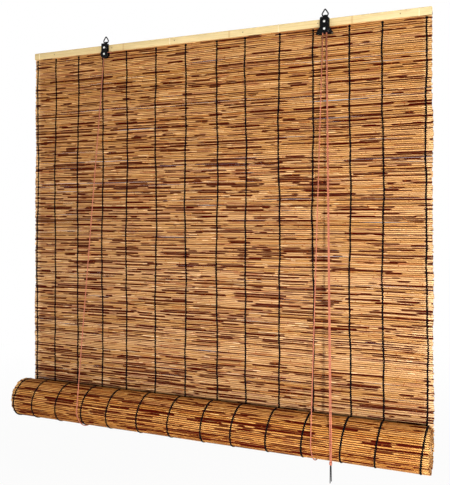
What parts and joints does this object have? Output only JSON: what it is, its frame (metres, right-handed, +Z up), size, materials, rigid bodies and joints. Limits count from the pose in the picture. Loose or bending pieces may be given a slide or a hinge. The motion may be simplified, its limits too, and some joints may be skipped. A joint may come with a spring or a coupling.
{
  "type": "reed roll-up blind",
  "caption": "Reed mat blind in a pale two-lath headrail, rolled up from below on lift cords that run over a pulley and a cord lock to one side.",
  "frame": {"origin": "centre of the back lath's wall face, half way along the headrail", "axes": "+X along the headrail to the lock side, +Y towards the wall, +Z up"},
  "size_m": [1.2, 0.1252, 1.1765],
  "materials": {
    "reed": "satin split reed, golden brown with dark stems",
    "lath": "pale bare wood",
    "string": "dark twisted thread",
    "tie_thread": "pale thread",
    "black_steel": "black stove enamel",
    "rivet": "bright plated",
    "wheel_plastic": "moulded",
    "cord": "braided, reddish brown",
    "cord_tip": "dark dipped end"
  },
  "bodies": {
    "headrail": {"front_lath": "lath", "back_lath": "lath", "lath_brads": "rivet", "lath_ties": "tie_thread", "hanging_mat": "reed", "warp_strings": "string", "pulley_hanger": "black_steel", "pulley_cover": "black_steel", "pulley_axle": "rivet", "pulley_fixing": "rivet", "pulley_spacer": "rivet", "lock_hanger": "black_steel", "lock_cover": "black_steel", "lock_axle": "rivet", "lock_fixing": "rivet", "lock_spacer": "rivet", "lock_posts": "black_steel", "left_cord_behind": "cord", "left_cord_front": "cord", "cross_cord": "cord", "right_cord_behind": "cord", "right_cord_front": "cord", "right_cord_over_lock": "cord", "pull_cord_left": "cord", "pull_cord_right": "cord"},
    "cord_slings": {"left_cord_sling": "cord", "right_cord_sling": "cord", "pull_cord_drop": "cord", "pull_cord_knot": "cord", "pull_cord_tail": "cord_tip"},
    "roll": {"mat_roll": "reed", "roll_strings": "string", "core_rod": "lath"},
    "pulley_wheel": {"pulley_wheel": "wheel_plastic"},
    "lock_wheel": {"lock_wheel": "wheel_plastic"},
    "lock_roller": {"lock_roller": "rivet"},
    "pulley_ring": {"pulley_ring": "black_steel"},
    "lock_ring": {"lock_ring": "black_steel"}
  },
  "joints": [
    {"name": "roll_lift", "type": "slide", "parent": "headrail", "child": "cord_slings", "axis": [0, 0, 1], "range_m": [0, 0.82], "deforming": ["hanging_mat", "warp_strings", "left_cord_behind", "right_cord_behind", "left_cord_front", "right_cord_front", "pull_cord_left", "pull_cord_right"]},
    {"name": "roll_turn", "type": "hinge", "parent": "cord_slings", "child": "roll", "pos_m": [0, -0.0625, -1.05], "axis": [1, 0, 0], "range_deg": [-853, 0]},
    {"name": "pulley_wheel_spin", "type": "hinge", "parent": "headrail", "child": "pulley_wheel", "pos_m": [-0.335, -0.02055, -0.0185], "axis": [0, 1, 0], "range_deg": [0, 19586]},
    {"name": "lock_wheel_spin", "type": "hinge", "parent": "headrail", "child": "lock_wheel", "pos_m": [0.335, -0.02055, -0.0185], "axis": [0, 1, 0], "range_deg": [0, 19586]},
    {"name": "lock_roller_slide", "type": "slide", "parent": "headrail", "child": "lock_roller", "axis": [0.5736, 0, -0.8192], "range_m": [0, 0.005]},
    {"name": "pulley_ring_swing", "type": "hinge", "parent": "headrail", "child": "pulley_ring", "pos_m": [-0.335, -0.0152, 0.017], "axis": [1, 0, 0], "range_deg": [-90, 90]},
    {"name": "lock_ring_swing", "type": "hinge", "parent": "headrail", "child": "lock_ring", "pos_m": [0.335, -0.0152, 0.017], "axis": [1, 0, 0], "range_deg": [-90, 90]}
  ],
  "couplings": [
    {"joint": "roll_turn", "follows": "roll_lift", "rad_per_m": -18.116},
    {"joint": "pulley_wheel_spin", "follows": "roll_lift", "rad_per_m": 416.67},
    {"joint": "lock_wheel_spin", "follows": "roll_lift", "rad_per_m": 416.67}
  ]
}
